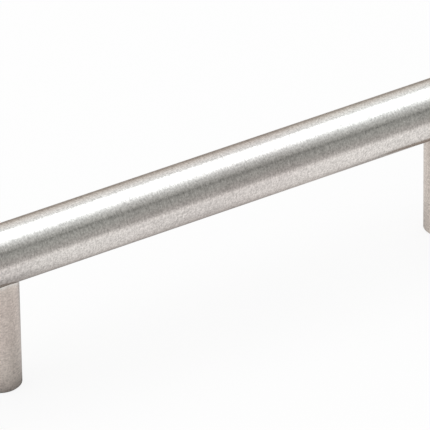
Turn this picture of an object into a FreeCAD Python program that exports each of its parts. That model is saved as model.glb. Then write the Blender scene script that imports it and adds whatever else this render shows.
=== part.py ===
import FreeCAD, Part
import math
import os

# T bar cabinet pull: a solid round bar on two round posts.
# The pull's own frame lies on the door: X runs along the bar, Z points out of the door,
# and the origin is on the door's face, midway between the two posts.
# Each post is coped at its top to the round of the bar and stands under it on a threaded stud.
# A blind tapped hole in each post's foot takes the machine screw that comes through the door.
# Threads are plain cylinders here: a screw at its outer diameter, a tapped hole at its root.

# Bar, in millimetres
BAR_DIAMETER = 11.0
BAR_OVERHANG = 30.0
BAR_END_CHAMFER = 0.6

# Posts, and where they stand
HOLE_CENTRES = 96.0
PROJECTION = 32.0
POST_DIAMETER = 8.0
POST_FOOT_CHAMFER = 0.3

# Tapped hole in the foot, for the door's screw: as deep as the web above it allows
SCREW_DIAMETER = 4.0
SCREW_HOLE_COUNTERSINK = 0.4
WEB_BETWEEN_HOLES = 1.5

# Threaded stud between post and bar
STUD_DIAMETER = 5.0
STUD_IN_BAR = 6.0
STUD_IN_POST = 6.0
STUD_END_CHAMFER = 0.5
STUD_END_GAP = 0.5
STUD_SOCKET_ACROSS_FLATS = 2.5
STUD_SOCKET_DEPTH = 3.0

# Common to every tapped hole
TAP_CLEARANCE = 0.06
DRILL_POINT_ANGLE = 118.0

X_AXIS = FreeCAD.Vector(1, 0, 0)
Z_AXIS = FreeCAD.Vector(0, 0, 1)
ORIGIN = FreeCAD.Vector(0, 0, 0)

BAR_RADIUS = BAR_DIAMETER / 2
BAR_LENGTH = HOLE_CENTRES + 2 * BAR_OVERHANG
BAR_AXIS_HEIGHT = PROJECTION - BAR_RADIUS
BAR_UNDERSIDE = PROJECTION - BAR_DIAMETER
POST_RADIUS = POST_DIAMETER / 2
POST_X = {"left": -HOLE_CENTRES / 2, "right": HOLE_CENTRES / 2}
SCREW_HOLE_RADIUS = SCREW_DIAMETER / 2 + TAP_CLEARANCE
STUD_HOLE_RADIUS = STUD_DIAMETER / 2 + TAP_CLEARANCE


def turned(outline):
    """A solid of revolution about Z, from (radius, height) points that start and end on the axis."""
    points = [FreeCAD.Vector(radius, 0, height) for radius, height in outline]
    face = Part.Face(Part.makePolygon(points + [points[0]]))
    return face.revolve(ORIGIN, Z_AXIS, 360)


def drill_point_height(radius):
    """How far a twist drill's point reaches past the full width of its hole."""
    return radius / math.tan(math.radians(DRILL_POINT_ANGLE / 2))


def blind_hole(radius, depth, lead=0.0):
    """The space of a drilled hole, up from its mouth at Z = 0, with the lead left open below."""
    return turned([
        (0, -lead),
        (radius, -lead),
        (radius, depth),
        (0, depth + drill_point_height(radius)),
    ])


def countersink(radius, width):
    """The space of a 45 degree countersink that widens the mouth of a hole at Z = 0."""
    return turned([(0, 0), (radius + width, 0), (radius, width), (0, width)])


def bar_cylinder(length):
    """A plain cylinder of the bar's diameter on the bar's axis, centred on X = 0."""
    start = FreeCAD.Vector(-length / 2, 0, BAR_AXIS_HEIGHT)
    return Part.makeCylinder(BAR_RADIUS, length, start, X_AXIS)


def make_bar():
    """The grip: one solid bar with a tapped blind hole in its underside over each post."""
    bar = bar_cylinder(BAR_LENGTH)
    end_edges = [edge for edge in bar.Edges if isinstance(edge.Curve, Part.Circle)]
    bar = bar.makeChamfer(BAR_END_CHAMFER, end_edges)

    stud_hole = blind_hole(STUD_HOLE_RADIUS, STUD_IN_BAR + STUD_END_GAP)
    for x in POST_X.values():
        bar = bar.cut(stud_hole.translated(FreeCAD.Vector(x, 0, BAR_UNDERSIDE)))
    return bar


def make_post():
    """A turned post on the Z axis, its foot on Z = 0 and its top coped to the round of the bar."""
    post = turned([
        (0, 0),
        (POST_RADIUS - POST_FOOT_CHAMFER, 0),
        (POST_RADIUS, POST_FOOT_CHAMFER),
        (POST_RADIUS, BAR_AXIS_HEIGHT),
        (0, BAR_AXIS_HEIGHT),
    ])
    post = post.cut(bar_cylinder(2 * POST_DIAMETER))

    stud_hole_depth = STUD_IN_POST + STUD_END_GAP
    stud_hole = blind_hole(STUD_HOLE_RADIUS, stud_hole_depth, lead=BAR_RADIUS)
    stud_hole = stud_hole.rotated(ORIGIN, X_AXIS, 180)
    post = post.cut(stud_hole.translated(FreeCAD.Vector(0, 0, BAR_UNDERSIDE)))

    stud_hole_bottom = BAR_UNDERSIDE - stud_hole_depth - drill_point_height(STUD_HOLE_RADIUS)
    screw_hole_top = stud_hole_bottom - WEB_BETWEEN_HOLES
    screw_hole_depth = screw_hole_top - drill_point_height(SCREW_HOLE_RADIUS)
    post = post.cut(blind_hole(SCREW_HOLE_RADIUS, screw_hole_depth))
    return post.cut(countersink(SCREW_HOLE_RADIUS, SCREW_HOLE_COUNTERSINK))


def hexagonal_prism(across_flats, height):
    """A hexagonal prism on the Z axis, up from Z = 0."""
    corner_radius = across_flats / math.sqrt(3)
    turns = [math.radians(60 * corner) for corner in range(6)]
    corners = [
        FreeCAD.Vector(corner_radius * math.cos(turn), corner_radius * math.sin(turn), 0)
        for turn in turns
    ]
    hexagon = Part.Face(Part.makePolygon(corners + [corners[0]]))
    return hexagon.extrude(Z_AXIS * height)


def make_stud():
    """A headless set screw on the Z axis, part in the post and part in the bar, socket down."""
    radius = STUD_DIAMETER / 2
    bottom = BAR_UNDERSIDE - STUD_IN_POST
    top = BAR_UNDERSIDE + STUD_IN_BAR
    stud = turned([
        (0, bottom),
        (radius - STUD_END_CHAMFER, bottom),
        (radius, bottom + STUD_END_CHAMFER),
        (radius, top - STUD_END_CHAMFER),
        (radius - STUD_END_CHAMFER, top),
        (0, top),
    ])
    socket = hexagonal_prism(STUD_SOCKET_ACROSS_FLATS, STUD_SOCKET_DEPTH)
    return stud.cut(socket.translated(FreeCAD.Vector(0, 0, bottom)))


def make_pull():
    """Every piece of the pull under its own name, each where it sits in the finished pull."""
    pieces = {"bar": make_bar()}
    for side, x in POST_X.items():
        place = FreeCAD.Vector(x, 0, 0)
        pieces["post_" + side] = make_post().translated(place)
        pieces["stud_" + side] = make_stud().translated(place)
    return pieces


def main():
    """Writes one STEP file for each piece."""
    os.makedirs("parts", exist_ok=True)
    for name, shape in make_pull().items():
        if not shape.isValid() or len(shape.Solids) != 1:
            raise RuntimeError(name + " isn't one valid solid")
        shape.exportStep("parts/" + name + ".step")
        print(name, round(shape.Volume, 1), "mm3")


main()
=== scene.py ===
"""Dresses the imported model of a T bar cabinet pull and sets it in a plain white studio.

The bar, its two posts and the studs between them are grids worked out with numpy. They add the
edge breaks and the threads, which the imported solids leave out.
Shapes are in millimetres until a mesh is made of them. Everything else is in metres.
"""

import logging
import math
from collections.abc import Mapping, Sequence
from dataclasses import dataclass, field
from enum import Enum

import bpy
import numpy as np
import numpy.typing as npt
from mathutils import Matrix, Vector


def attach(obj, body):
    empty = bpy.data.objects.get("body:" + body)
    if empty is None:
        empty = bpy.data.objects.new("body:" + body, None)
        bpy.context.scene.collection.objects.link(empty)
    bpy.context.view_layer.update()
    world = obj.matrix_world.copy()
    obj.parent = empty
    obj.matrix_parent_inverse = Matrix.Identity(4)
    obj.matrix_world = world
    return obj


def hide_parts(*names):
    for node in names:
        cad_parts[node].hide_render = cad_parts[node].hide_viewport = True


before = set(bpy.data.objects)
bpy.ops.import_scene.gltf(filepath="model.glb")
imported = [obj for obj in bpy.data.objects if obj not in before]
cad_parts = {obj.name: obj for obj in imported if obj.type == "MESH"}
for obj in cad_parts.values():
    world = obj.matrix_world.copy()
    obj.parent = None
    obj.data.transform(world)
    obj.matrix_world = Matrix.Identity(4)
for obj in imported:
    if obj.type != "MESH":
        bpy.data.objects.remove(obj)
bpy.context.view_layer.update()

Array = npt.NDArray[np.float64]
IntArray = npt.NDArray[np.int64]
Colour = tuple[float, float, float]
Rgba = tuple[float, float, float, float]
Object = bpy.types.Object
Material = bpy.types.Material
Socket = bpy.types.NodeSocket
Place = Mapping[str, Socket]

METRES_PER_MM = 0.001
WHITE: Colour = (1.0, 1.0, 1.0)
FULL_TURN = 2 * math.pi

# Points closer than this share a place, in millimetres. The shift keeps round values, where most
# points lie, away from the limits between places.
WELD_DISTANCE = 1e-5
WELD_SHIFT = 0.3141593

# How far red, green and blue follow the slow clouds in the steel.
CLOUD_SHARES: Colour = (0.85, 1.1, 1.05)

# The sockets of Blender's colour mixer, which share their names with those for plain values.
MIX_SHARE = 0
MIX_FIRST = 6
MIX_SECOND = 7
MIX_RESULT = 2

# The shaders that Blender's shader mixer takes, which share one name.
FIRST_SHADER = 1
SECOND_SHADER = 2

logging.basicConfig(level=logging.INFO, format="%(message)s")
log = logging.getLogger("t_bar_pull")


class Slot(Enum):
    """The record's material slots."""

    SATIN_STEEL = "satin_steel"
    STUD_STEEL = "stud_steel"


class LatheAxis(Enum):
    """The axis that a piece was turned and polished about."""

    ALONG_BAR = "X"
    UP_POST = "Z"


class Side(Enum):
    """The two posts, by the end of the bar that they hold."""

    LEFT = "left"
    RIGHT = "right"


@dataclass(frozen=True)
class Corner:
    """One corner of a turned profile.

    The corner is softened over the distance rounding, and cell is the length of the grid's cells
    on the run that follows it. The last field is how far the edge is lightened, partly as wear
    from hands and cloths and partly as a painted glint.
    """

    radius: float
    height: float
    rounding: float = 0.0
    cell: float = 0.5
    wear_and_glint: float = 0.0


@dataclass(frozen=True)
class Profile:
    """The line that a lathe tool follows, as radius and height at each of its points.

    length is how far along the line each point lies, and the edge mask is 1 on an edge and 0 on
    a face. That mask lightens edges, partly as wear and partly as a painted glint.
    """

    radius: Array
    height: Array
    length: Array
    wear_and_glint_mask: Array


@dataclass(frozen=True)
class ProfileTracer:
    """Turns the corners of a profile into points, close together at the edges."""

    arc_cells: int = 6
    support: float = 0.03
    wear_and_glint_width: float = 0.22

    def trace(self, corners: Sequence[Corner]) -> Profile:
        """Traces the profile from corner to corner.

        A rounded corner is the quadratic curve that leaves one run and joins the next at the
        corner's rounding from it. A run is divided evenly, with one more point next to each
        rounded end, which keeps the faces beside an edge flat. The edge mask, which lightens
        edges partly as wear and partly as a painted glint, falls off from each edge as a bell
        curve of the distance along the profile.

        Args:
            corners: The profile's corners in order.

        Returns:
            The traced profile.
        """
        places = np.array([(corner.radius, corner.height) for corner in corners])
        steps = np.diff(places, axis=0)
        steps /= np.linalg.norm(steps, axis=1)[:, None]
        arcs = []
        for index, corner in enumerate(corners):
            inner = 0 < index < len(corners) - 1
            if not inner or corner.rounding == 0:
                arcs.append(places[index : index + 1])
                continue
            start = places[index] - steps[index - 1] * corner.rounding
            end = places[index] + steps[index] * corner.rounding
            along = np.linspace(0, 1, self.arc_cells + 1)[:, None]
            bent = (1 - along) ** 2 * start + 2 * along * (1 - along) * places[index]
            arcs.append(bent + along**2 * end)
        parts = [arcs[0]]
        for index, corner in enumerate(corners[:-1]):
            parts.append(self.run(arcs[index], arcs[index + 1], corner.cell))
            parts.append(arcs[index + 1])
        points = np.concatenate(parts)
        strides = np.linalg.norm(np.diff(points, axis=0), axis=1)
        length = np.concatenate([[0.0], np.cumsum(strides)])
        starts = np.cumsum([0] + [len(part) for part in parts[:-1]])[::2]
        middles = np.array([length[start + len(arc) // 2] for start, arc in zip(starts, arcs)])
        wear_and_glint = np.array([corner.wear_and_glint for corner in corners])
        distance = length[:, None] - middles[None, :]
        wear_and_glint_mask = (wear_and_glint * np.exp(-((distance / self.wear_and_glint_width) ** 2))).max(axis=1)
        return Profile(points[:, 0], points[:, 1], length, wear_and_glint_mask)

    def run(self, before: Array, after: Array, cell: float) -> Array:
        """The points between two corners, without their own ends.

        Args:
            before: The points of the corner that the run leaves.
            after: The points of the corner that it reaches.
            cell: The longest that a cell may be.

        Returns:
            The points of the run, as rows of radius and height.
        """
        start, end = before[-1], after[0]
        reach = float(np.linalg.norm(end - start))
        share = np.linspace(0, 1, max(1, math.ceil(reach / cell)) + 1)[1:-1]
        first = self.support / reach if len(before) > 1 else 0.0
        last = 1 - self.support / reach if len(after) > 1 else 1.0
        inside = share[(share > first) & (share < last)]
        share = np.array([first, *inside, last])
        share = share[(share > 0) & (share < 1)]
        return start + share[:, None] * (end - start)


@dataclass(frozen=True)
class Patch:
    """A grid of surface points, rows x columns, with what the finishes read at each point.

    points are in millimetres. lathe holds the cosine and sine of the turn about the lathe's axis
    and the length along the turned profile. kept says which cells of the grid have a face.
    Seen from outside, the way from a row to the next and then from a column to the next goes
    anticlockwise round a cell.
    """

    points: Array
    lathe: Array
    wear_and_glint_mask: Array
    kept: npt.NDArray[np.bool_] | None = None

    def faces(self) -> IntArray:
        """The four corners of each kept cell, as places in the flattened grid."""
        rows, columns = self.wear_and_glint_mask.shape
        index = np.arange(rows * columns).reshape(rows, columns)
        corners = np.stack([index[:-1, :-1], index[1:, :-1], index[1:, 1:], index[:-1, 1:]], axis=-1)
        if self.kept is None:
            return corners.reshape(-1, 4)
        return corners[self.kept]


def point_rows(*parts: Array | float) -> Array:
    """Points with these parts, each given as an array or as one number for all of them."""
    return np.stack(np.broadcast_arrays(*parts), axis=-1)


def lathe_values(turn: Array, length: Array) -> Array:
    """The lathe attribute: cosine and sine of the turn, and the length along the profile."""
    return point_rows(np.cos(turn), np.sin(turn), length)


def put_in_scene(name: str, data: bpy.types.ID) -> Object:
    """Makes an object of a mesh, a lamp or a camera, and links it to the scene."""
    made = bpy.data.objects.new(name, data)
    bpy.context.scene.collection.objects.link(made)
    return made


def make_piece(name: str, patches: Sequence[Patch], material: Material) -> Object:
    """Makes one closed mesh of patches that meet edge to edge.

    Points that share a place are welded. A cell that closes on a pole loses its doubled corner
    and becomes a triangle.

    Args:
        name: The object's name.
        patches: The grids that make up its surface.
        material: Its finish.

    Returns:
        The object, at the origin, with smooth faces, the lathe attribute and a mask of wear and
            painted glint.
    """
    points = np.concatenate([patch.points.reshape(-1, 3) for patch in patches])
    lathe = np.concatenate([patch.lathe.reshape(-1, 3) for patch in patches])
    wear_and_glint_mask = np.concatenate([patch.wear_and_glint_mask.ravel() for patch in patches])
    offsets = np.cumsum([0] + [patch.wear_and_glint_mask.size for patch in patches[:-1]])
    faces = np.concatenate([patch.faces() + offset for patch, offset in zip(patches, offsets)])

    keys = np.round(points / WELD_DISTANCE + WELD_SHIFT).astype(np.int64)
    _, first, welded = np.unique(keys, axis=0, return_index=True, return_inverse=True)
    corners = welded.reshape(-1)[faces]
    apart = corners != np.roll(corners, -1, axis=1)
    whole = apart.sum(axis=1) > 2
    corners, apart = corners[whole], apart[whole]
    sizes = apart.sum(axis=1)
    starts = np.concatenate([[0], np.cumsum(sizes)[:-1]])
    used, loops = np.unique(corners[apart], return_inverse=True)
    first = first[used]

    mesh = bpy.data.meshes.new(name)
    mesh.vertices.add(len(first))
    mesh.vertices.foreach_set("co", (points[first] * METRES_PER_MM).ravel())
    mesh.loops.add(int(sizes.sum()))
    mesh.loops.foreach_set("vertex_index", loops.reshape(-1).astype(np.int32))
    mesh.polygons.add(len(sizes))
    mesh.polygons.foreach_set("loop_start", starts.astype(np.int32))
    mesh.update(calc_edges=True)
    mesh.polygons.foreach_set("use_smooth", np.ones(len(sizes), dtype=bool))
    for label, kind, key, values in (
        ("lathe", "FLOAT_VECTOR", "vector", lathe[first].ravel()),
        ("wear_and_glint_mask", "FLOAT", "value", wear_and_glint_mask[first]),
    ):
        mesh.attributes.new(label, kind, "POINT").data.foreach_set(key, values)
    mesh.materials.append(material)
    mesh.validate()
    mesh.update()

    return put_in_scene(name, mesh)


@dataclass(frozen=True)
class Thread:
    """A right-handed metric thread about an upright axis.

    The ridge is a trapezium wave of height over pitch less turns, with a flat of an eighth of
    the pitch at its crest and of a quarter at its root.
    """

    radius: float
    pitch: float
    depth_share: float = 0.5413
    crest_share: float = 0.125
    root_share: float = 0.25
    cells: int = 14

    @property
    def depth(self) -> float:
        """How far the root lies under the crest."""
        return self.depth_share * self.pitch

    @property
    def core(self) -> float:
        """The radius at the root of an outer thread."""
        return self.radius - self.depth

    @property
    def cell(self) -> float:
        """The height of the grid's cells on a threaded wall."""
        return self.pitch / self.cells

    def ridge(self, turn: Array, height: Array) -> Array:
        """How far each point stands between the root, 0, and the crest, 1."""
        place = np.mod(height / self.pitch - turn / FULL_TURN, 1.0)
        off_crest = np.abs(place - 1 / 2)
        foot = (1 - self.root_share) / 2
        return np.clip((foot - off_crest) / (foot - self.crest_share / 2), 0.0, 1.0)

    def outer(self, radius: Array, turn: Array, height: Array) -> Array:
        """Cuts the thread into a rod: the smaller of the rod's own radius and the thread's."""
        return np.minimum(radius, self.core + self.depth * self.ridge(turn, height))


@dataclass(frozen=True)
class PullSizes:
    """The sizes that the pieces share, in millimetres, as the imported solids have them."""

    bar_radius: float = 5.5
    bar_half_length: float = 78.0
    bar_end_chamfer: float = 0.6
    axis_height: float = 26.5
    underside: float = 21.0
    post_radius: float = 4.0
    post_offset: float = 48.0
    foot_chamfer: float = 0.3
    stud_reach: float = 6.0
    stud_end_gap: float = 0.5
    screw_hole_depth: float = 10.22
    countersink: float = 0.4
    clearance: float = 0.06
    drill_point_slope: float = math.tan(math.radians(59.0))
    stud_thread: Thread = Thread(radius=2.5, pitch=0.8)
    screw_thread: Thread = Thread(radius=2.0, pitch=0.7)

    def post_place(self, side: Side) -> float:
        """Where along the bar a post stands."""
        return -self.post_offset if side is Side.LEFT else self.post_offset

    def rise(self, across: Array) -> Array:
        """How far the round of the bar stands above its underside, at a distance across it.

        The round is a circle, so this is its radius less the square root of the radius squared
        less the distance squared.
        """
        return self.bar_radius - np.sqrt(self.bar_radius**2 - across**2)


SIZES = PullSizes()
POST_OFFSET_METRES = SIZES.post_offset * METRES_PER_MM


@dataclass(frozen=True)
class TappedHole:
    """A blind hole with its thread, its drill point and the cone at its mouth."""

    thread: Thread
    mouth: float
    depth: float
    rounding: float = 0.0
    unthreaded: float = 1.0
    cone_cell: float = 0.4

    @property
    def core(self) -> float:
        """The radius of the drilled hole, before it is tapped."""
        return self.thread.core + SIZES.clearance

    def corners(self, mouth_height: float, direction: int) -> list[Corner]:
        """The profile's corners from the mouth to the tip of the drill point.

        Args:
            mouth_height: The height of the mouth.
            direction: 1 where the hole goes up from its mouth, and -1 where it goes down.

        Returns:
            Corners at the mouth, under its cone, at the full depth and at the tip.
        """
        cone = self.mouth - self.core
        bottom = mouth_height + direction * self.depth
        return [
            Corner(self.mouth, mouth_height, self.rounding, self.thread.cell),
            Corner(self.core, mouth_height + direction * cone, 0.0, self.thread.cell),
            Corner(self.core, bottom, 0.0, self.cone_cell),
            Corner(0.0, bottom + direction * self.core / SIZES.drill_point_slope),
        ]

    def cut(
        self, radius: Array, turn: Array, height: Array, mouth_height: float, direction: int
    ) -> Array:
        """Cuts the thread into the hole's wall: the larger of the wall's radius and the thread's.

        The thread stands clear of the screw's all round, and fades out above the bottom of the
        hole, where the tap doesn't reach.

        Args:
            radius: The wall's own radius.
            turn: The turn about the hole's axis.
            height: The height of each point.
            mouth_height: The height of the mouth.
            direction: 1 where the hole goes up from its mouth, and -1 where it goes down.

        Returns:
            The radius of the threaded wall, and 0 still at the tip.
        """
        inward = (height - mouth_height) * direction
        fade = np.clip((self.depth - self.unthreaded - inward) / self.thread.pitch, 0.0, 1.0)
        ridge = self.thread.depth * self.thread.ridge(turn, height) * fade
        wall = np.maximum(radius, self.core + ridge)
        return np.where(inward > self.depth - self.unthreaded, radius, wall)


STUD_HOLE = TappedHole(
    thread=SIZES.stud_thread,
    mouth=SIZES.stud_thread.radius + SIZES.clearance,
    depth=SIZES.stud_reach + SIZES.stud_end_gap,
)
SCREW_HOLE = TappedHole(
    thread=SIZES.screw_thread,
    mouth=SIZES.screw_thread.radius + SIZES.clearance + SIZES.countersink,
    depth=SIZES.screw_hole_depth,
    rounding=0.05,
)


@dataclass
class Wiring:
    """Adds nodes to one node tree and joins their sockets."""

    tree: bpy.types.NodeTree

    def add(
        self, kind: str, sources: Mapping[str | int, object] | None = None, **settings: object
    ) -> bpy.types.Node:
        """Adds a node.

        Args:
            kind: Blender's name for its kind.
            sources: What goes into its inputs, each a socket to join or a plain value.
            settings: Its properties.

        Returns:
            The node.
        """
        node = self.tree.nodes.new(kind)
        for name, value in settings.items():
            setattr(node, name, value)
        for socket, source in (sources or {}).items():
            if isinstance(source, Socket):
                self.tree.links.new(source, node.inputs[socket])
            else:
                node.inputs[socket].default_value = source
        return node

    def maths(self, operation: str, *terms: object) -> Socket:
        """Adds a Math node with these terms and returns its value."""
        node = self.add("ShaderNodeMath", dict(enumerate(terms)), operation=operation)
        return node.outputs["Value"]

    def remap(self, value: object, old: Sequence[float], new: Sequence[float]) -> Socket:
        """Maps a value from one range to another, and holds it there.

        Args:
            value: The value or socket to map.
            old: The two ends of the range that it comes from.
            new: The two ends of the range that it goes to.

        Returns:
            The mapped value.
        """
        sockets = ("Value", "From Min", "From Max", "To Min", "To Max")
        sources = dict(zip(sockets, (value, *old, *new)))
        return self.add("ShaderNodeMapRange", sources, clamp=True).outputs["Result"]

    def blend(self, share: object, first: object, second: object, kind: str = "MIX") -> Socket:
        """Mixes two colours by a share from 0, the first, to 1, the second.

        Args:
            share: The value or socket that mixes them.
            first: The colour or socket at 0.
            second: The colour or socket at 1.
            kind: How the second acts on the first.

        Returns:
            The mixed colour.
        """
        sources = {MIX_SHARE: share, MIX_FIRST: first, MIX_SECOND: second}
        node = self.add("ShaderNodeMix", sources, data_type="RGBA", blend_type=kind)
        return node.outputs[MIX_RESULT]

    def noise(self, place: object, scale: object, detail: float) -> Socket:
        """A noise value about one half.

        Args:
            place: The coordinates to read it at.
            scale: How many of its grains fit in a unit.
            detail: How many finer layers it has.

        Returns:
            The noise's value.
        """
        sources = {"Vector": place, "Scale": scale, "Detail": detail}
        return self.add("ShaderNodeTexNoise", sources, noise_dimensions="3D").outputs["Fac"]

    def place(self) -> Socket:
        """The place on the object, in its own coordinates."""
        return self.add("ShaderNodeTexCoord").outputs["Object"]

    def parts(self, vector: object) -> Place:
        """The parts X, Y and Z of a vector."""
        return self.add("ShaderNodeSeparateXYZ", {"Vector": vector}).outputs


def clear_nodes(owner: Material | bpy.types.World) -> Wiring:
    """Empties the nodes of a material or a world, ready to be wired anew."""
    owner.use_nodes = True
    owner.node_tree.nodes.clear()
    return Wiring(owner.node_tree)


def opaque(colour: Colour) -> Rgba:
    """The colour with a full alpha, as Blender's sockets take it."""
    return (*colour, 1.0)


def grey(level: float) -> Colour:
    """The colour whose three parts are all this level."""
    return (level, level, level)


def around(middle: Colour, spreads: Colour) -> tuple[Rgba, Rgba]:
    """The two colours below and above a middle one, by a share of it for each of its parts."""
    pairs = list(zip(middle, spreads))
    below = tuple(part * (1 - spread) for part, spread in pairs)
    above = tuple(part * (1 + spread) for part, spread in pairs)
    return opaque(below), opaque(above)


def new_group(
    name: str, vectors: Sequence[str], values: Sequence[str], results: Sequence[str]
) -> bpy.types.NodeTree:
    """Makes an empty shader node group with its sockets.

    Args:
        name: The group's name.
        vectors: The names of the vectors that go in.
        values: The names of the plain values that go in.
        results: The names of the plain values that come out.

    Returns:
        The group's node tree.
    """
    tree = bpy.data.node_groups.new(name, "ShaderNodeTree")
    for direction, kind, sockets in (
        ("INPUT", "NodeSocketVector", vectors),
        ("INPUT", "NodeSocketFloat", values),
        ("OUTPUT", "NodeSocketFloat", results),
    ):
        for socket in sockets:
            tree.interface.new_socket(socket, in_out=direction, socket_type=kind)
    return tree


@dataclass
class TurnedGrain:
    """The surface that polishing on a lathe leaves, shared by both kinds of steel.

    Fine lines run round the lathe's axis, each a stretch of arc long, over a mottled speckle
    that has no direction. Slow clouds, from millimetres to centimetres across, lie under both.
    """

    lines_around: float = 3.0
    lines_detail: float = 2.0
    speckle_detail: float = 1.0
    cloud_detail: float = 3.0
    speckles_in_blotch: float = 8.0
    group: bpy.types.NodeTree = field(init=False)

    def __post_init__(self) -> None:
        """Builds the node group."""
        self.group = new_group(
            "turned_grain",
            vectors=("Lathe", "Place", "Cloud Shift"),
            values=("Lines per mm", "Line Share", "Speckle Scale", "Cloud Scale"),
            results=("Tone", "Cloud", "Haze"),
        )
        wiring = Wiring(self.group)
        given = wiring.add("NodeGroupInput").outputs
        place, scale, share = given["Place"], given["Speckle Scale"], given["Line Share"]
        parts = wiring.parts(given["Lathe"])
        stretches = {"X": self.lines_around, "Y": self.lines_around, "Z": given["Lines per mm"]}
        stretched = wiring.add("ShaderNodeCombineXYZ", {
            part: wiring.maths("MULTIPLY", parts[part], stretch) for part, stretch in stretches.items()
        })
        lines = wiring.noise(stretched.outputs["Vector"], 1.0, self.lines_detail)
        speckle = wiring.noise(place, scale, self.speckle_detail)
        shifts = dict(enumerate((place, given["Cloud Shift"])))
        shifted = wiring.add("ShaderNodeVectorMath", shifts, operation="ADD").outputs["Vector"]
        cloud = wiring.noise(shifted, given["Cloud Scale"], self.cloud_detail)
        blotch_scale = wiring.maths("DIVIDE", scale, self.speckles_in_blotch)
        blotch = wiring.noise(place, blotch_scale, self.cloud_detail)

        drawn = wiring.maths("MULTIPLY", lines, share)
        dotted = wiring.maths("MULTIPLY", speckle, wiring.maths("SUBTRACT", 1.0, share))
        tone = wiring.maths("ADD", drawn, dotted)
        haze = wiring.maths("MULTIPLY", wiring.maths("ADD", speckle, blotch), 1 / 2)
        wiring.add("NodeGroupOutput", {"Tone": tone, "Cloud": cloud, "Haze": haze})


@dataclass
class EdgeWearAndGlint:
    """Edges lightened by hands and cloths and by a painted glint, shared by both kinds of steel."""

    break_up: tuple[float, float] = (0.35, 0.6)
    patch_scale: float = 1500.0
    patch_detail: float = 2.0
    group: bpy.types.NodeTree = field(init=False)

    def __post_init__(self) -> None:
        """Builds the node group."""
        self.group = new_group("edge_wear_and_glint", ("Place",), ("Edge",), ("Mask",))
        wiring = Wiring(self.group)
        given = wiring.add("NodeGroupInput").outputs
        noise = wiring.noise(given["Place"], self.patch_scale, self.patch_detail)
        broken = wiring.remap(noise, self.break_up, (1 / 2, 1.0))
        mask = wiring.maths("MULTIPLY", given["Edge"], broken)
        wiring.add("NodeGroupOutput", {"Mask": mask})


@dataclass
class SharedEffects:
    """The node groups that more than one finish uses."""

    grain: TurnedGrain = field(default_factory=TurnedGrain)
    wear_and_glint_mask: EdgeWearAndGlint = field(default_factory=EdgeWearAndGlint)


@dataclass(frozen=True)
class SteelFinish:
    """Steel that was polished on a lathe.

    colour is the middle of its tone, and colour_spread and roughness_spread are how far the
    grain moves it and the roughness to each side. edge_tint is how much a grazing look
    reflects, against a plain metal's. Depths are in metres, and scales are grains per metre.
    """

    name: str
    axis: LatheAxis
    colour: Colour
    colour_spread: float
    cloud_spread: float
    roughness: float
    roughness_spread: float
    edge_tint: Colour
    # The lighter colour laid on the edges: partly wear, partly a painted glint.
    wear_and_glint_colour: Colour
    wear_and_glint_share: float
    speckle_scale: float
    cloud_scale: float
    grain_depth: float
    cloud_shift: tuple[float, float, float] = (0.0, 0.0, 0.0)
    anisotropy: float = 0.6
    lines_per_mm: float = 13.0
    line_share: float = 0.5
    bump_strength: float = 1.0
    quarter_turn: float = 0.25
    tone_range: tuple[float, float] = (0.3, 0.7)

    def material(self, effects: SharedEffects) -> Material:
        """Builds the finish's material.

        Args:
            effects: The node groups that it shares.

        Returns:
            The material.
        """
        made = bpy.data.materials.new(self.name)
        wiring = clear_nodes(made)
        place = wiring.place()
        lathe = wiring.add("ShaderNodeAttribute", attribute_name="lathe").outputs["Vector"]
        edge = wiring.add("ShaderNodeAttribute", attribute_name="wear_and_glint_mask").outputs["Fac"]
        grain = wiring.add("ShaderNodeGroup", {
            "Lathe": lathe,
            "Place": place,
            "Lines per mm": self.lines_per_mm,
            "Line Share": self.line_share,
            "Speckle Scale": self.speckle_scale,
            "Cloud Scale": self.cloud_scale,
            "Cloud Shift": self.cloud_shift,
        }, node_tree=effects.grain.group).outputs
        edges = {"Edge": edge, "Place": place}
        wear_and_glint_mask = wiring.add("ShaderNodeGroup", edges, node_tree=effects.wear_and_glint_mask.group)
        # Lightens the edges: partly wear, partly a painted glint.
        wear_and_glint = wiring.maths("MULTIPLY", wear_and_glint_mask.outputs["Mask"], self.wear_and_glint_share)

        tone = wiring.remap(grain["Tone"], self.tone_range, (0.0, 1.0))
        colour = wiring.blend(tone, *around(self.colour, grey(self.colour_spread)))
        cloud = wiring.remap(grain["Cloud"], self.tone_range, (0.0, 1.0))
        spreads = tuple(self.cloud_spread * share for share in CLOUD_SHARES)
        clouds = wiring.blend(cloud, *around(WHITE, spreads))
        colour = wiring.blend(1.0, colour, clouds, "MULTIPLY")
        colour = wiring.blend(wear_and_glint, colour, opaque(self.wear_and_glint_colour))
        low, high = self.roughness - self.roughness_spread, self.roughness + self.roughness_spread
        bump = wiring.add("ShaderNodeBump", {
            "Strength": self.bump_strength,
            "Distance": self.grain_depth,
            "Height": grain["Tone"],
        })
        tangent = wiring.add("ShaderNodeTangent", direction_type="RADIAL", axis=self.axis.value)
        steel = wiring.add("ShaderNodeBsdfPrincipled", {
            "Base Color": colour,
            "Metallic": 1.0,
            "Roughness": wiring.remap(grain["Haze"], self.tone_range, (low, high)),
            "Normal": bump.outputs["Normal"],
            "Specular Tint": opaque(self.edge_tint),
            "Anisotropic": self.anisotropy,
            "Anisotropic Rotation": self.quarter_turn,
            "Tangent": tangent.outputs["Tangent"],
        })
        wiring.add("ShaderNodeOutputMaterial", {"Surface": steel.outputs["BSDF"]})
        return made


SATIN_BAR = SteelFinish(
    name="satin_steel_bar",
    axis=LatheAxis.ALONG_BAR,
    colour=(0.61, 0.57, 0.545),
    colour_spread=0.4,
    cloud_spread=0.12,
    roughness=0.2,
    roughness_spread=0.02,
    edge_tint=(0.52, 0.49, 0.475),
    wear_and_glint_colour=(0.72, 0.69, 0.67),
    wear_and_glint_share=0.6,
    speckle_scale=2600.0,
    cloud_scale=20.0,
    grain_depth=1.5e-6,
    cloud_shift=(0.161, 1.563, 1.559),
)
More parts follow.
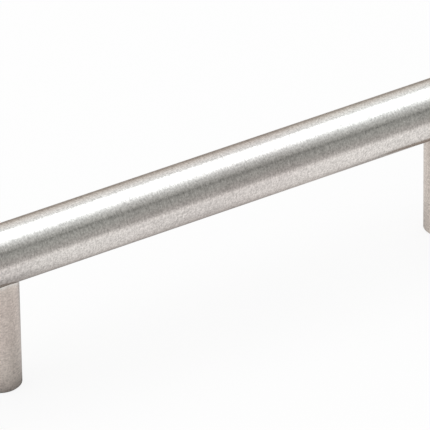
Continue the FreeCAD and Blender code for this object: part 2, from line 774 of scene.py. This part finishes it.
# The posts are the bar's steel made darker and warmer: painted shade and a painted warm reflection of
# the floor that they mirror. Their lighter rims are partly wear and partly a painted glint.
SHADED_SATIN_POST = SteelFinish(
    name="shaded_satin_steel_post",
    axis=LatheAxis.UP_POST,
    colour=(0.59, 0.524, 0.477),
    colour_spread=0.34,
    cloud_spread=0.08,
    roughness=0.34,
    roughness_spread=0.04,
    edge_tint=(0.85, 0.85, 0.85),
    wear_and_glint_colour=(0.82, 0.8, 0.77),
    wear_and_glint_share=0.9,
    speckle_scale=2500.0,
    cloud_scale=80.0,
    grain_depth=2.5e-6,
)
DARK_STUD = SteelFinish(
    name="stud_steel",
    axis=LatheAxis.UP_POST,
    colour=(0.32, 0.32, 0.33),
    colour_spread=0.15,
    cloud_spread=0.1,
    roughness=0.36,
    roughness_spread=0.08,
    anisotropy=0.3,
    edge_tint=(0.7, 0.7, 0.7),
    wear_and_glint_colour=(0.5, 0.5, 0.5),
    wear_and_glint_share=0.7,
    lines_per_mm=6.0,
    speckle_scale=2500.0,
    cloud_scale=150.0,
    grain_depth=8.0e-6,
)


@dataclass
class Bar:
    """The grip: a round bar with chamfered ends and a tapped hole in its underside over each post."""

    columns: int = 192
    window_columns: int = 20
    window_rows: int = 20
    mouth_rows: int = 9
    edge_rounding: float = 0.07
    barrel_cell: float = 1.6
    face_cell: float = 0.5
    hole_blend: float = 3.0
    tracer: ProfileTracer = field(default_factory=ProfileTracer)

    @property
    def turns(self) -> Array:
        """The turn of each column about the bar's axis, from the top round by the underside, 0."""
        return np.linspace(-math.pi, math.pi, self.columns + 1)

    @property
    def window(self) -> float:
        """Half the width of the window that the grid leaves open round a hole."""
        return SIZES.bar_radius * math.sin(self.window_columns * FULL_TURN / self.columns)

    def profile(self) -> Profile:
        """The bar's outline from the middle of one end to the middle of the other.

        It has corners without rounding where the windows for the holes start and end.
        """
        radius, end = SIZES.bar_radius, SIZES.bar_half_length
        chamfer, window = SIZES.bar_end_chamfer, self.window
        inner_cell = 2 * window / self.window_rows
        near, far = SIZES.post_offset - window, SIZES.post_offset + window
        return self.tracer.trace([
            Corner(0.0, end, 0.0, self.face_cell),
            Corner(radius - chamfer, end, self.edge_rounding, self.face_cell, wear_and_glint=1.0),
            Corner(radius, end - chamfer, self.edge_rounding, self.barrel_cell, wear_and_glint=1.0),
            Corner(radius, far, 0.0, inner_cell),
            Corner(radius, near, 0.0, self.barrel_cell),
            Corner(radius, -near, 0.0, inner_cell),
            Corner(radius, -far, 0.0, self.barrel_cell),
            Corner(radius, -end + chamfer, self.edge_rounding, self.face_cell, wear_and_glint=1.0),
            Corner(radius - chamfer, -end, self.edge_rounding, self.face_cell, wear_and_glint=1.0),
            Corner(0.0, -end),
        ])

    def barrel(self, profile: Profile) -> Patch:
        """The turned outside of the bar, with a window left open over each post.

        A point lies at the profile's height along the bar, and across it at the profile's radius
        times the sine and the cosine of its turn.

        Args:
            profile: The bar's outline.

        Returns:
            The patch.
        """
        turn = self.turns[None, :]
        radius = profile.radius[:, None]
        height = SIZES.axis_height - radius * np.cos(turn)
        points = point_rows(profile.height[:, None], radius * np.sin(turn), height)
        kept = np.ones((points.shape[0] - 1, points.shape[1] - 1), dtype=bool)
        for side in Side:
            rows, columns = self.window_span(profile, side)
            kept[rows[0] : rows[-1], columns[0] : columns[-1]] = False
        wear_and_glint_mask = np.broadcast_to(profile.wear_and_glint_mask[:, None], points.shape[:2])
        return Patch(points, lathe_values(turn, profile.length[:, None]), wear_and_glint_mask, kept)

    def window_span(self, profile: Profile, side: Side) -> tuple[IntArray, IntArray]:
        """The rows and the columns of the grid that a window spans.

        Args:
            profile: The bar's outline.
            side: The post that the window is over.

        Returns:
            The rows and the columns, each in order and with both ends.
        """
        middle = SIZES.post_place(side)
        off = np.abs(profile.height - middle)
        on_barrel = profile.radius > SIZES.bar_radius - WELD_DISTANCE
        rows = np.flatnonzero((off < self.window + WELD_DISTANCE) & on_barrel)
        centre = self.columns // 2
        columns = np.arange(centre - self.window_columns, centre + self.window_columns + 1)
        return rows, columns

    def stud_hole(self, profile: Profile, side: Side) -> Patch:
        """The skin of the bar between a window's frame and the hole, and the tapped hole itself.

        On the skin each point slides in a straight line from the frame to the hole's mouth, as
        seen from below, and stays on the round of the bar. In the hole a column keeps its turn,
        and its points are raised by the rise of the round, in full at the mouth and less above.

        Args:
            profile: The bar's outline.
            side: The post that the hole is over.

        Returns:
            The patch, from the frame to the tip of the drill point.
        """
        middle = SIZES.post_place(side)
        rows, columns = self.window_span(profile, side)
        along, turns = profile.height[rows] - middle, self.turns[columns]
        across = SIZES.bar_radius * np.sin(turns)
        front, high_side = point_rows(along[0], across), point_rows(along, across[-1])
        back, low_side = point_rows(along[-1], across[::-1]), point_rows(along[::-1], across[0])
        loop = np.concatenate([front[:-1], high_side[:-1], back[:-1], low_side])
        turn = np.unwrap(np.arctan2(loop[:, 1], loop[:, 0]))

        share = np.linspace(0, 1, self.mouth_rows + 1)[:-1, None, None]
        mouth = STUD_HOLE.mouth * point_rows(np.cos(turn), np.sin(turn))
        skin = (1 - share) * loop[None] + share * mouth[None]
        skin_height = SIZES.underside + SIZES.rise(skin[..., 1])
        skin_points = point_rows(skin[..., 0], skin[..., 1], skin_height)

        bore = self.tracer.trace(STUD_HOLE.corners(SIZES.underside, 1))
        radius, height = bore.radius[:, None], bore.height[:, None]
        blend = np.clip(1 - (height - SIZES.underside) / self.hole_blend, 0.0, 1.0)
        height = height + blend * SIZES.rise(radius * np.sin(turn[None]))
        radius = STUD_HOLE.cut(radius, turn[None], height, SIZES.underside, 1)
        bore_points = point_rows(radius * np.cos(turn), radius * np.sin(turn), height)

        points = np.concatenate([skin_points, bore_points])
        points[..., 0] += middle
        round_turn = np.arcsin(np.clip(skin_points[..., 1] / SIZES.bar_radius, -1, 1))
        skin_length = np.interp(-skin_points[..., 0] - middle, -profile.height, profile.length)
        lathe = np.concatenate([
            lathe_values(round_turn, skin_length),
            lathe_values(turn[None], bore.length[:, None]),
        ])
        return Patch(points, lathe, np.zeros(points.shape[:2]))

    def build(self, material: Material) -> Object:
        """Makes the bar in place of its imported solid."""
        profile = self.profile()
        holes = [self.stud_hole(profile, side) for side in Side]
        piece = make_piece("turned_bar", [self.barrel(profile), *holes], material)
        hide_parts("bar")
        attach(piece, "root")
        return piece


def upright_patch(
    side: Side, profile: Profile, radius: Array, turn: Array, height: Array
) -> Patch:
    """The skin of a piece that was turned about a post's axis.

    From the axis, a point lies at its radius times the cosine of its turn along the bar, and
    times the sine of it across the bar.

    Args:
        side: The post.
        profile: The piece's outline, a row of the grid for each of its points.
        radius: Each point's distance from the axis.
        turn: The turn of each column.
        height: Each point's height.

    Returns:
        The patch.
    """
    along = SIZES.post_place(side) + radius * np.cos(turn)
    points = point_rows(along, radius * np.sin(turn), height)
    wear_and_glint_mask = np.broadcast_to(profile.wear_and_glint_mask[:, None], points.shape[:2])
    return Patch(points, lathe_values(turn, profile.length[:, None]), wear_and_glint_mask)


@dataclass
class Post:
    """A turned post, coped at its top to the round of the bar and tapped from both ends."""

    side: Side
    columns: int = 128
    cope_break: float = 0.1
    foot_break: float = 0.05
    seat_clearance: float = 0.004
    cope_blend: float = 4.0
    wall_cell: float = 0.6
    seat_cell: float = 0.25
    tracer: ProfileTracer = field(default_factory=ProfileTracer)

    def profile(self) -> Profile:
        """The post's outline, as if its top were cut square.

        It goes from the tip of the upper hole over the seat, down the outside and across the
        foot to the tip of the lower hole.
        """
        radius, chamfer = SIZES.post_radius, SIZES.foot_chamfer
        hole = STUD_HOLE.corners(SIZES.underside, -1)[::-1]
        thread_cell = STUD_HOLE.thread.cell
        cells = (STUD_HOLE.cone_cell, thread_cell, thread_cell, self.seat_cell)
        upper = [Corner(point.radius, point.height, cell=cell) for point, cell in zip(hole, cells)]
        outside = [
            # The cope's rim is lightened: partly wear, partly a painted glint under the bar.
            Corner(radius, SIZES.underside, self.cope_break, self.wall_cell, wear_and_glint=1.0),
            Corner(radius, chamfer, self.foot_break, self.wall_cell),
            Corner(radius - chamfer, 0.0, self.foot_break, self.wall_cell),
        ]
        return self.tracer.trace([*upper, *outside, *SCREW_HOLE.corners(0.0, 1)])

    def build(self, material: Material) -> Object:
        """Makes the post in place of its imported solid.

        A column of the grid keeps its turn about the post. Near the top its points are lifted by
        the rise of the bar's round over them less the seat's clearance, in full on the seat and
        less and less down the walls, which only slides them along.

        Args:
            material: The post's finish.

        Returns:
            The post.
        """
        profile = self.profile()
        turn = np.linspace(0, FULL_TURN, self.columns + 1)[None, :]
        radius = profile.radius[:, None] * np.ones_like(turn)
        height = profile.height[:, None] * np.ones_like(turn)
        lift = np.clip((height - SIZES.underside) / self.cope_blend + 1, 0.0, 1.0)
        height = height + lift * (SIZES.rise(radius * np.sin(turn)) - self.seat_clearance)

        order = np.arange(len(profile.radius))[:, None]
        seat_row = int(np.argmax(profile.radius > STUD_HOLE.mouth + WELD_DISTANCE))
        foot_row = int(np.argmin(np.where(profile.height < WELD_DISTANCE, profile.radius, np.inf)))
        upper = STUD_HOLE.cut(radius, turn, height, SIZES.underside, -1)
        lower = SCREW_HOLE.cut(radius, turn, height, 0.0, 1)
        radius = np.where(order < seat_row, upper, np.where(order > foot_row, lower, radius))

        patch = upright_patch(self.side, profile, radius, turn, height)
        piece = make_piece(f"turned_post_{self.side.value}", [patch], material)
        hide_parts(f"post_{self.side.value}")
        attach(piece, "root")
        return piece


@dataclass
class Stud:
    """A headless set screw, half in the post and half in the bar, with its socket downwards."""

    side: Side
    columns: int = 96
    chamfer: float = 0.5
    across_flats: float = 2.5
    socket_depth: float = 3.0
    socket_sides: int = 6
    edge_break: float = 0.04
    face_cell: float = 0.3
    tracer: ProfileTracer = field(default_factory=ProfileTracer)

    def profile(self) -> Profile:
        """The stud's outline, from the middle of its top down to the middle of the socket's floor."""
        radius = SIZES.stud_thread.radius
        top, bottom = SIZES.underside + SIZES.stud_reach, SIZES.underside - SIZES.stud_reach
        cell, edge = SIZES.stud_thread.cell, self.edge_break
        flat, socket_floor = self.across_flats / 2, bottom + self.socket_depth
        return self.tracer.trace([
            Corner(0.0, top, 0.0, self.face_cell),
            Corner(radius - self.chamfer, top, edge, cell, wear_and_glint=1.0),
            Corner(radius, top - self.chamfer, 0.0, cell),
            Corner(radius, bottom + self.chamfer, 0.0, cell),
            Corner(radius - self.chamfer, bottom, edge, self.face_cell, wear_and_glint=1.0),
            Corner(flat, bottom, edge, self.face_cell, wear_and_glint=1.0),
            Corner(flat, socket_floor, edge, self.face_cell),
            Corner(0.0, socket_floor),
        ])

    def build(self, material: Material) -> Object:
        """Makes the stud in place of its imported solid.

        The outside takes the thread. In the socket the radius is divided by the cosine of the
        turn from the middle of the nearest flat, which makes the round a hexagon, and the end
        face goes evenly from the one to the other.

        Args:
            material: The stud's finish.

        Returns:
            The stud.
        """
        profile = self.profile()
        turn = np.linspace(0, FULL_TURN, self.columns + 1)[None, :]
        height = profile.height[:, None] * np.ones_like(turn)
        face_start = SIZES.stud_thread.radius - self.chamfer
        lower = np.arange(len(profile.radius)) > np.argmin(profile.height)
        inward = (face_start - profile.radius) / (face_start - self.across_flats / 2)
        hexagonal = np.where(lower, np.clip(inward, 0.0, 1.0), 0.0)[:, None]
        side_turn = FULL_TURN / self.socket_sides
        shape = 1 / np.cos(np.mod(turn, side_turn) - side_turn / 2)
        radius = profile.radius[:, None] * (1 + hexagonal * (shape - 1))
        threaded = SIZES.stud_thread.outer(radius, turn, height)
        radius = np.where(hexagonal > 0, radius, threaded)

        patch = upright_patch(self.side, profile, radius, turn, height)
        piece = make_piece(f"threaded_stud_{self.side.value}", [patch], material)
        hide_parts(f"stud_{self.side.value}")
        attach(piece, "root")
        return piece


@dataclass(frozen=True)
class PaintedFloorShade:
    """A soft round shade painted into the floor's white, which only the steel sees in its mirror.

    The light falls by depth inside radius of the middle, and the shade dies away over reach
    outside it. Lengths are in metres.
    """

    middle: tuple[float, float]
    depth: float
    reach: float
    radius: float = SIZES.post_radius * METRES_PER_MM

    def light_left(self, wiring: Wiring, place: Place) -> Socket:
        """The share of light left: 1 less depth times the exponential of minus distance over reach.

        Args:
            wiring: The wiring of the floor's paint.
            place: The parts X and Y of the place on the floor.

        Returns:
            The share of light.
        """
        offsets = zip((place["X"], place["Y"]), self.middle)
        off = [wiring.maths("SUBTRACT", part, middle) for part, middle in offsets]
        squares = [wiring.maths("MULTIPLY", part, part) for part in off]
        distance = wiring.maths("SQRT", wiring.maths("ADD", *squares))
        distance = wiring.maths("MAXIMUM", wiring.maths("SUBTRACT", distance, self.radius), 0.0)
        fall = wiring.maths("EXPONENT", wiring.maths("DIVIDE", distance, -self.reach))
        return wiring.maths("SUBTRACT", 1.0, wiring.maths("MULTIPLY", fall, self.depth))


@dataclass(frozen=True)
class PaintedBarShade:
    """A long soft shade painted into the floor's white along the bar, which only the steel sees in its
    mirror.

    Across the bar it is a bell curve of this width about middle, behind the posts. Past its two
    ends it fades over the same width. Lengths are in metres.
    """

    middle: float = 0.019
    width: float = 0.012
    depth: float = 0.45
    ends: tuple[float, float] = (-SIZES.bar_half_length * METRES_PER_MM, 0.016)

    def light_left(self, wiring: Wiring, place: Place) -> Socket:
        """The share of light left: 1 less the bell curve across the bar, as deep as its ends allow.

        Args:
            wiring: The wiring of the floor's paint.
            place: The parts X and Y of the place on the floor.

        Returns:
            The share of light.
        """
        across = wiring.maths("SUBTRACT", place["Y"], self.middle)
        across = wiring.maths("DIVIDE", across, self.width)
        square = wiring.maths("MULTIPLY", across, across)
        bell = wiring.maths("EXPONENT", wiring.maths("MULTIPLY", square, -1.0))
        left, right = self.ends
        past = wiring.maths("SUBTRACT", place["X"], (left + right) / 2)
        past = wiring.maths("SUBTRACT", wiring.maths("ABSOLUTE", past), (right - left) / 2)
        under = wiring.remap(past, (0.0, self.width), (self.depth, 0.0))
        return wiring.maths("SUBTRACT", 1.0, wiring.maths("MULTIPLY", bell, under))


def make_sheet(
    name: str, points: Sequence[Sequence[float]], faces: Sequence[Sequence[int]], paint: Material
) -> Object:
    """Makes a sheet for the studio.

    Args:
        name: Its name.
        points: Its corners.
        faces: The corners of each of its faces.
        paint: Its material.

    Returns:
        The sheet.
    """
    mesh = bpy.data.meshes.new(name)
    mesh.from_pydata(points, [], faces)
    mesh.materials.append(paint)
    return put_in_scene(name, mesh)


@dataclass(frozen=True)
class PaleFloor:
    """The plain white floor.

    The lamps draw the pull's shadow on its paint. Where the camera or the steel sees it, a share
    of plain white is laid over that, which lifts it to the white of the room and leaves the
    shadow soft. The steel mirrors the floor from close by, and the white that it sees has
    painted shades: round the feet, along the bar and at some places near them.
    """

    half_size: float = 8.0
    paint: Colour = (0.9, 0.9, 0.9)
    camera_share: float = 0.86
    camera_white: float = 1.0
    steel_share: float = 0.9
    steel_white: float = 1.12
    # Painted shades in the white that only the steel mirrors: round the feet, along the bar and at
    # some places near them.
    painted_shades: tuple[PaintedFloorShade | PaintedBarShade, ...] = (
        PaintedFloorShade(middle=(-POST_OFFSET_METRES, 0.0), depth=0.6, reach=0.008),
        PaintedFloorShade(middle=(-POST_OFFSET_METRES + 0.016, -0.04), depth=0.26, reach=0.006),
        PaintedFloorShade(middle=(-POST_OFFSET_METRES + 0.011, -0.011), depth=0.3, reach=0.006),
        PaintedFloorShade(middle=(-POST_OFFSET_METRES, 0.0), depth=0.75, reach=0.0015),
        PaintedFloorShade(middle=(POST_OFFSET_METRES - 0.007, 0.006), depth=0.28, reach=0.003),
        PaintedFloorShade(middle=(POST_OFFSET_METRES, 0.0), depth=0.4, reach=0.001),
        PaintedFloorShade(middle=(0.003, -0.01), depth=0.2, reach=0.005),
        PaintedFloorShade(middle=(0.012, -0.04), depth=0.18, reach=0.006),
        PaintedBarShade(),
    )

    def material(self) -> Material:
        """Builds the floor's paint."""
        made = bpy.data.materials.new("floor_paint")
        wiring = clear_nodes(made)
        rays = wiring.add("ShaderNodeLightPath").outputs
        by_camera = rays["Is Camera Ray"]
        by_steel = wiring.maths("MAXIMUM", rays["Is Glossy Ray"], rays["Is Transmission Ray"])
        share = wiring.maths("MULTIPLY", by_camera, self.camera_share)
        share = wiring.maths("ADD", share, wiring.maths("MULTIPLY", by_steel, self.steel_share))
        paint = wiring.add("ShaderNodeBsdfDiffuse", {"Color": opaque(self.paint)})
        place = wiring.parts(wiring.place())
        mirrored: object = self.steel_white
        # Darkens the white that the steel mirrors by each painted shade.
        for shade in self.painted_shades:
            mirrored = wiring.maths("MULTIPLY", mirrored, shade.light_left(wiring, place))
        level = wiring.maths("MULTIPLY", by_camera, self.camera_white)
        level = wiring.maths("ADD", level, wiring.maths("MULTIPLY", by_steel, mirrored))
        white = wiring.add("ShaderNodeEmission", {"Strength": level})
        mixed = wiring.add("ShaderNodeMixShader", {
            "Fac": share,
            FIRST_SHADER: paint.outputs["BSDF"],
            SECOND_SHADER: white.outputs["Emission"],
        })
        wiring.add("ShaderNodeOutputMaterial", {"Surface": mixed.outputs["Shader"]})
        return made

    def build(self) -> Object:
        """Lays the floor at the height of the door's face."""
        half = self.half_size
        corners = [(-half, -half, 0.0), (half, -half, 0.0), (half, half, 0.0), (-half, half, 0.0)]
        floor = make_sheet("studio_floor", corners, [(0, 1, 2, 3)], self.material())
        return floor


@dataclass(frozen=True)
class LightTent:
    """The fabric tunnel that the steel mirrors: a broad white panel above, grey walls around.

    It runs along the bar, and its ends are closed. Only reflections see it. levels gives its
    light by the angle about the bar's axis, in degrees: 0 is straight behind the pull, 90 over
    it, 180 straight in front, and more than that lies on the front apron. tints colours that
    light by the same angle. along dims or lifts it by the place along the bar, in metres, and
    ends is the light of the two ends.
    """

    radius: float = 2.0
    half_length: float = 2.5
    lowest: float = 0.0005
    front_edge: float = 0.0595
    back_edge: float = 0.11
    end_share: float = 0.001
    arc_cells: int = 96
    apron_cells: int = 16
    seam_angle: float = -45.0
    last_angle: float = 210.0
    ends: tuple[float, float] = (1.05, 0.35)
    along: tuple[tuple[float, float], ...] = ((-1.6, 1.06), (-0.4, 1.0), (1.2, 1.0), (1.8, 0.35))
    levels: tuple[tuple[float, float], ...] = (
        (0.0, 0.64),
        (6.0, 0.78),
        (16.0, 0.92),
        (34.0, 1.15),
        (53.5, 1.2),
        (58.5, 2.24),
        (97.0, 2.24),
        (104.0, 1.48),
        (112.0, 1.08),
        (120.0, 0.84),
        (130.0, 0.64),
        (139.5, 0.46),
        (142.5, 0.34),
        (145.5, 0.34),
        (149.0, 0.46),
        (160.0, 0.51),
        (184.0, 0.53),
        (188.5, 0.56),
        (194.0, 0.75),
        (199.0, 0.99),
        (204.0, 1.07),
    )
    tints: tuple[tuple[float, Colour], ...] = (
        (0.0, (1.06, 1.0, 0.92)),
        (34.0, (0.99, 1.0, 0.99)),
        (58.5, (0.94, 1.0, 1.03)),
        (100.0, (0.94, 1.0, 1.03)),
        (120.0, (0.96, 1.0, 1.0)),
        (139.5, (0.97, 1.0, 0.97)),
        (160.0, (0.97, 1.0, 0.97)),
        (184.0, (1.02, 1.0, 0.98)),
        (204.0, (1.01, 1.0, 1.0)),
    )

    def ramp(
        self, wiring: Wiring, share: object, stops: Sequence[tuple[float, Colour]]
    ) -> tuple[Socket, float]:
        """Adds a colour ramp. It holds no more than 1, so its colours are scaled down to that.

        Args:
            wiring: The wiring of the fabric.
            share: The value or socket that the ramp is read at.
            stops: Its stops in order, each a place from 0 to 1 and a colour.

        Returns:
            The ramp's colour, and what it was divided by.
        """
        most = max(max(colour) for _, colour in stops)
        node = wiring.add("ShaderNodeValToRGB", {"Fac": share})
        made = node.color_ramp.elements
        given = len(made)
        for index, (place, colour) in enumerate(stops):
            stop = made[index] if index < given else made.new(place)
            stop.position, stop.color = place, opaque(tuple(part / most for part in colour))
        return node.outputs["Color"], most

    def material(self) -> Material:
        """Builds the tent's fabric, whose light is the levels times the tints times along."""
        made = bpy.data.materials.new("tent_fabric")
        made.cycles.emission_sampling = "NONE"
        wiring = clear_nodes(made)
        place = wiring.parts(wiring.place())
        above = wiring.maths("SUBTRACT", place["Z"], SIZES.axis_height * METRES_PER_MM)
        angle = wiring.maths("ARCTAN2", above, place["Y"])
        seam = math.radians(self.seam_angle)
        angle = wiring.maths("WRAP", angle, FULL_TURN + seam, seam)
        turn_share = wiring.maths("DIVIDE", angle, math.radians(self.last_angle))
        length = 2 * self.half_length
        length_share = wiring.maths("ADD", wiring.maths("DIVIDE", place["X"], length), 1 / 2)

        colour, strength = opaque(WHITE), 1.0
        for share, stops in (
            (turn_share, [(turn / self.last_angle, grey(level)) for turn, level in self.levels]),
            (turn_share, [(turn / self.last_angle, tint) for turn, tint in self.tints]),
            (length_share, [(spot / length + 1 / 2, grey(level)) for spot, level in self.along]),
        ):
            shade, most = self.ramp(wiring, share, stops)
            colour = wiring.blend(1.0, colour, shade, "MULTIPLY")
            strength *= most
        inner = self.half_length * (1 - self.end_share)
        tests = (("LESS_THAN", -inner), ("GREATER_THAN", inner))
        for (test, limit), level in zip(tests, self.ends):
            plain = opaque(grey(level / strength))
            colour = wiring.blend(wiring.maths(test, place["X"], limit), colour, plain)
        glow = wiring.add("ShaderNodeEmission", {"Color": colour, "Strength": strength})
        wiring.add("ShaderNodeOutputMaterial", {"Surface": glow.outputs["Emission"]})
        return made

    def build(self) -> Object:
        """Hangs the tent.

        Its profile is a half circle about the bar's axis that comes down to the floor in front
        and behind, and runs on over it as two flat aprons. It is carried straight along the bar.
        """
        centre = SIZES.axis_height * METRES_PER_MM
        dip = math.asin((centre - self.lowest) / self.radius)
        angle = np.linspace(-dip, math.pi + dip, self.arc_cells + 1)
        arc = point_rows(self.radius * np.cos(angle), centre + self.radius * np.sin(angle))
        front = np.linspace(arc[-1, 0], -self.front_edge, self.apron_cells + 1)[1:]
        back = np.linspace(self.back_edge, arc[0, 0], self.apron_cells + 1)[:-1]
        aprons = point_rows(back, self.lowest), point_rows(front, self.lowest)
        outline = np.concatenate([aprons[0], arc, aprons[1]])[:, None]
        ends = np.array([-self.half_length, self.half_length])
        points = point_rows(ends, outline[..., 0], outline[..., 1])
        first = 2 * np.arange(len(outline) - 1)
        faces = np.stack([first, first + 1, first + 3, first + 2], axis=-1).tolist()
        rim = 2 * (len(back) + np.arange(len(arc)))
        faces += [rim.tolist(), (rim[::-1] + 1).tolist()]
        tent = make_sheet("light_tent", points.reshape(-1, 3).tolist(), faces, self.material())
        for rays in ("camera", "diffuse", "transmission", "volume_scatter", "shadow"):
            setattr(tent, f"visible_{rays}", False)
        return tent


@dataclass(frozen=True)
class SoftLamp:
    """A large square lamp that looks at the middle of the pull and isn't mirrored in it."""

    name: str
    place: tuple[float, float, float]
    width: float
    power: float

    def build(self) -> Object:
        """Hangs the lamp."""
        light = bpy.data.lights.new(self.name, "AREA")
        light.shape = "SQUARE"
        light.size = self.width
        light.energy = self.power
        lamp = put_in_scene(self.name, light)
        lamp.location = self.place
        lamp.rotation_euler = Vector(self.place).to_track_quat("Z", "Y").to_euler()
        lamp.visible_camera = False
        lamp.visible_glossy = False
        return lamp


@dataclass(frozen=True)
class Studio:
    """The floor, the tent, the lamps and the white room around the pull."""

    room_light: float = 0.72
    lamps: tuple[SoftLamp, ...] = (
        SoftLamp("lamp_above", (0.0, 0.2, 1.7), 2.0, 8.0),
        SoftLamp("lamp_left", (-1.3, 0.25, 1.1), 1.0, 6.0),
    )

    def room(self) -> None:
        """Makes the world: white where it is seen, and a plain level of light on everything."""
        world = bpy.data.worlds.new("white_room")
        wiring = clear_nodes(world)
        rays = wiring.add("ShaderNodeLightPath").outputs
        seen = wiring.maths("MAXIMUM", rays["Is Camera Ray"], rays["Is Glossy Ray"])
        seen = wiring.maths("MAXIMUM", seen, rays["Is Transmission Ray"])
        strength = wiring.remap(seen, (0.0, 1.0), (self.room_light, 1.0))
        walls = wiring.add("ShaderNodeBackground", {"Color": opaque(WHITE), "Strength": strength})
        wiring.add("ShaderNodeOutputWorld", {"Surface": walls.outputs["Background"]})
        bpy.context.scene.world = world

    def build(self) -> None:
        """Sets up the whole studio and the plain view transform."""
        bpy.context.scene.view_settings.view_transform = "Standard"
        self.room()
        PaleFloor().build()
        LightTent().build()
        for lamp in self.lamps:
            lamp.build()


@dataclass(frozen=True)
class PhotoCamera:
    """The camera at the photograph's point of view, as fitted to its edges.

    Angles are in degrees, the lens and the sensor in millimetres, and the rest in metres.
    """

    lens: float = 591.3
    sensor: float = 36.0
    azimuth: float = 31.783
    elevation: float = 31.728
    roll: float = 0.842
    distance: float = 1.2784
    target: tuple[float, float, float] = (-0.002119, 0.0, 0.019615)
    clip_start: float = 0.05
    clip_end: float = 20.0

    def build(self) -> Object:
        """Sets the camera up and makes it the scene's.

        It looks forward by its azimuth from across the bar and by its elevation down, and is
        then rolled about that line.
        """
        turn, tilt = math.radians(self.azimuth), math.radians(self.elevation)
        roll, level = math.radians(self.roll), math.cos(tilt)
        forward = Vector((math.sin(turn) * level, math.cos(turn) * level, -math.sin(tilt)))
        right = Vector((math.cos(turn), -math.sin(turn), 0.0))
        down = forward.cross(right)
        rolled_right = math.cos(roll) * right + math.sin(roll) * down
        rolled_up = math.sin(roll) * right - math.cos(roll) * down
        pose = Matrix((rolled_right, rolled_up, -forward)).transposed().to_4x4()
        pose.translation = Vector(self.target) - forward * self.distance

        data = bpy.data.cameras.new("photo_camera")
        data.lens = self.lens
        data.sensor_width = self.sensor
        data.clip_start = self.clip_start
        data.clip_end = self.clip_end
        camera = put_in_scene("photo_camera", data)
        camera.matrix_world = pose
        bpy.context.scene.camera = camera
        return camera


def report_piece(piece: Object) -> None:
    """Logs a piece's name, triangles and size."""
    mesh = piece.data
    triangles = sum(len(face.vertices) - 2 for face in mesh.polygons)
    size = " x ".join(f"{length / METRES_PER_MM:.2f}" for length in piece.dimensions)
    log.info("%s: %d triangles, %s mm", piece.name, triangles, size)


def main() -> None:
    """Builds the pull piece by piece, then the studio and the camera."""
    PhotoCamera().build()
    effects = SharedEffects()
    bar_steel = SATIN_BAR.material(effects)
    post_steel = SHADED_SATIN_POST.material(effects)
    stud_steel = DARK_STUD.material(effects)

    report_piece(Bar().build(bar_steel))
    for side in Side:
        report_piece(Post(side).build(post_steel))
        report_piece(Stud(side).build(stud_steel))
    Studio().build()


if __name__ == "__main__":
    main()
